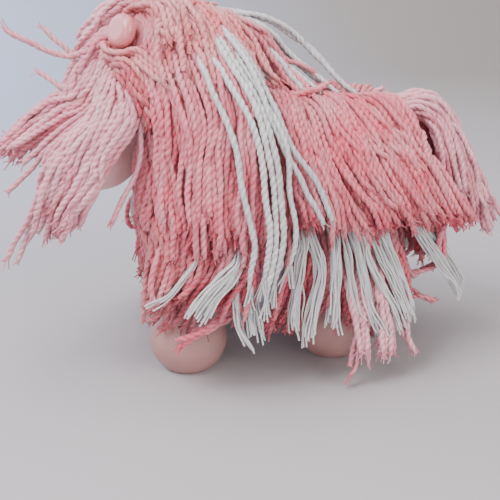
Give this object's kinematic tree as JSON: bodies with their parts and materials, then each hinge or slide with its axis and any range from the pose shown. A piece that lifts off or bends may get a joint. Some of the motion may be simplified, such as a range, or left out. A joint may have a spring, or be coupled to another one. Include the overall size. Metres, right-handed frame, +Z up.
{
  "type": "yarn-haired toy pony",
  "caption": "Small standing toy pony: hollow pink vinyl figure with a turning head, plug-in legs and tail, dressed all over in pink and white twisted yarn.",
  "frame": {"origin": "bottom centre of the whole part's box, on the surface the feet stand on", "axes": "+Z up; the pony faces -X and its left side is towards -Y"},
  "size_m": [0.171, 0.076, 0.124],
  "materials": {
    "vinyl": "satin soft vinyl, pale pink",
    "vinyl_gloss": "glossy pale pink",
    "hard_plastic": "moulded, natural",
    "eye_bead": "polished bead",
    "woven_tape": "thin woven tape",
    "yarn_pink": "two-ply lustrous yarn, pale pink",
    "yarn_white": "two-ply lustrous yarn, white"
  },
  "bodies": {
    "torso": {"back_coat_left": "yarn_pink", "back_coat_right": "yarn_pink", "chest_lock": "yarn_pink", "flank_coat_left": "yarn_pink", "flank_coat_right": "yarn_pink", "rump_coat_left": "yarn_pink", "rump_coat_right": "yarn_pink", "shoulder_lock_left": "yarn_pink", "shoulder_lock_right": "yarn_pink", "skirt_tape_left": "woven_tape", "skirt_tape_right": "woven_tape", "spine_tape": "woven_tape", "torso_shell": "vinyl", "under_coat_left": "yarn_pink", "under_coat_right": "yarn_pink", "white_fringe_left": "yarn_white", "white_fringe_right": "yarn_white", "white_mane_left": "yarn_white", "white_mane_right": "yarn_white", "white_tuft_left": "yarn_white", "white_tuft_right": "yarn_white"},
    "head": {"cheek_lock_left": "yarn_pink", "cheek_lock_right": "yarn_pink", "crest_tape": "woven_tape", "ear_left": "vinyl_gloss", "ear_right": "vinyl_gloss", "eye_left": "eye_bead", "eye_right": "eye_bead", "eye_washer_left": "hard_plastic", "eye_washer_right": "hard_plastic", "forelock_centre": "yarn_pink", "forelock_left": "yarn_pink", "forelock_right": "yarn_pink", "head_shell": "vinyl", "mane_left": "yarn_pink", "mane_right": "yarn_pink", "neck_plug": "hard_plastic"},
    "tail": {"tail_hair": "yarn_pink", "tail_plug": "vinyl", "tail_washer": "hard_plastic"},
    "leg_front_left": {"hip_pin_front_left": "hard_plastic", "hip_washer_front_left": "hard_plastic", "leg_front_left": "vinyl", "leg_wisps_front_left": "yarn_pink"},
    "leg_front_right": {"hip_pin_front_right": "hard_plastic", "hip_washer_front_right": "hard_plastic", "leg_front_right": "vinyl", "leg_wisps_front_right": "yarn_pink"},
    "leg_hind_left": {"hip_pin_hind_left": "hard_plastic", "hip_washer_hind_left": "hard_plastic", "leg_hind_left": "vinyl", "leg_wisps_hind_left": "yarn_pink"},
    "leg_hind_right": {"hip_pin_hind_right": "hard_plastic", "hip_washer_hind_right": "hard_plastic", "leg_hind_right": "vinyl", "leg_wisps_hind_right": "yarn_pink"}
  },
  "joints": [
    {"name": "head_turn", "type": "hinge", "parent": "torso", "child": "head", "pos_m": [-0.0225, 0, 0.0755], "axis": [0, 0, 1], "range_deg": [-40, 40]},
    {"name": "tail_turn", "type": "hinge", "parent": "torso", "child": "tail", "pos_m": [0.03964, 0, 0.06985], "axis": [0.6428, 0, 0.766], "range_deg": [-25, 25]},
    {"name": "leg_front_left_swing", "type": "hinge", "parent": "torso", "child": "leg_front_left", "pos_m": [-0.024, -0.015, 0.046], "axis": [0, 1, 0], "range_deg": [-18, 18]},
    {"name": "leg_front_right_swing", "type": "hinge", "parent": "torso", "child": "leg_front_right", "pos_m": [-0.024, 0.015, 0.046], "axis": [0, 1, 0], "range_deg": [-18, 18]},
    {"name": "leg_hind_left_swing", "type": "hinge", "parent": "torso", "child": "leg_hind_left", "pos_m": [0.0255, -0.015, 0.046], "axis": [0, 1, 0], "range_deg": [-18, 18]},
    {"name": "leg_hind_right_swing", "type": "hinge", "parent": "torso", "child": "leg_hind_right", "pos_m": [0.0255, 0.015, 0.046], "axis": [0, 1, 0], "range_deg": [-18, 18]}
  ]
}
